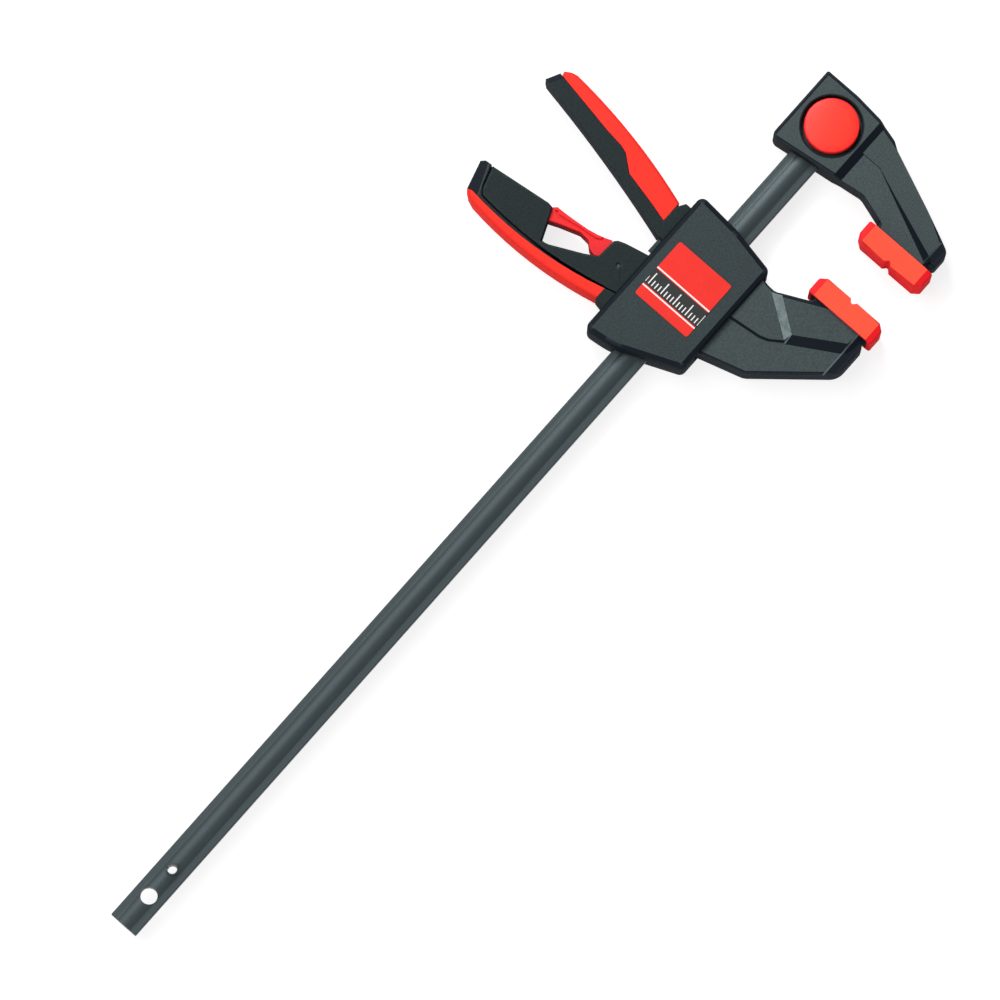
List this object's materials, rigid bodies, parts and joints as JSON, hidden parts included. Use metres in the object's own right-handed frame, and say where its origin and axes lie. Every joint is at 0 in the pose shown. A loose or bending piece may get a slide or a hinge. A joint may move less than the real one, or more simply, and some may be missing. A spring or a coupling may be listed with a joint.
{
  "type": "quick release bar clamp",
  "caption": "One-handed bar clamp with a pump lever, a release trigger, soft jaw pads and a jaw that slides along a ribbed steel rail.",
  "frame": {"origin": "centre of the hanging hole, on the rail's centreline at half its thickness", "axes": "+X along the rail towards the fixed jaw, +Y towards the handles, +Z out of the front of the housing; the clamp lies on its back"},
  "size_m": [0.6845, 0.2604, 0.0325],
  "materials": {
    "dark_steel": "burnished, dark",
    "plain_steel": "plain steel",
    "black_plastic": "fine spark-eroded grain, glass-filled",
    "red_plastic": "satin",
    "soft_red": "soft, matt",
    "label_red": "printed plate, satin"
  },
  "bodies": {
    "rail": {"rail": "dark_steel", "stop_pin": "plain_steel", "fixed_jaw": "black_plastic", "fixed_pad": "soft_red", "button_spring": "plain_steel"},
    "button": {"release_button": "red_plastic", "lock_pin": "plain_steel", "lock_clip": "plain_steel"},
    "carriage": {"moving_jaw": "black_plastic", "front_cover": "black_plastic", "rear_cover": "black_plastic", "label_plate": "label_red", "moving_pad": "soft_red", "grip_frame": "black_plastic", "grip_cheek_front": "black_plastic", "grip_cheek_rear": "black_plastic", "grip_strip": "soft_red", "lever_pin": "plain_steel", "trigger_pin": "plain_steel", "cover_screws": "plain_steel", "drive_spring": "plain_steel", "brake_spring": "plain_steel"},
    "lever": {"pump_lever": "black_plastic", "lever_strip": "soft_red"},
    "drive": {"drive_plate": "plain_steel"},
    "brake": {"brake_plate": "plain_steel"},
    "trigger": {"release_trigger": "red_plastic"}
  },
  "joints": [
    {"name": "carriage_slide", "type": "slide", "parent": "rail", "child": "carriage", "axis": [1, 0, 0], "range_m": [-0.419, 0.0308]},
    {"name": "button_press", "type": "slide", "parent": "rail", "child": "button", "axis": [0, 0, -1], "range_m": [0, 0.0032], "stiffness_N_per_m": 1200, "springref_m": -0.002, "deforming": ["button_spring"]},
    {"name": "lever_swing", "type": "hinge", "parent": "carriage", "child": "lever", "pos_m": [0.52803, -0.0175, 0], "axis": [0, 0, 1], "range_deg": [0, 10], "stiffness_Nm_per_rad": 2, "springref_deg": -4.58},
    {"name": "drive_shift", "type": "slide", "parent": "carriage", "child": "drive", "axis": [-1, 0, 0], "range_m": [0, 0.0054], "deforming": ["drive_spring"]},
    {"name": "trigger_swing", "type": "hinge", "parent": "carriage", "child": "trigger", "pos_m": [0.48303, 0.0415, 0], "axis": [0, 0, 1], "range_deg": [0, 8], "stiffness_Nm_per_rad": 0.8, "springref_deg": -5.73},
    {"name": "brake_tilt", "type": "hinge", "parent": "carriage", "child": "brake", "pos_m": [0.47403, -0.015, 0], "axis": [0, 0, 1], "range_deg": [-6.05, 0], "deforming": ["brake_spring"]}
  ],
  "couplings": [
    {"joint": "drive_shift", "follows": "lever_swing", "m_per_rad": 0.0305},
    {"joint": "brake_tilt", "follows": "trigger_swing", "ratio": -0.75}
  ]
}
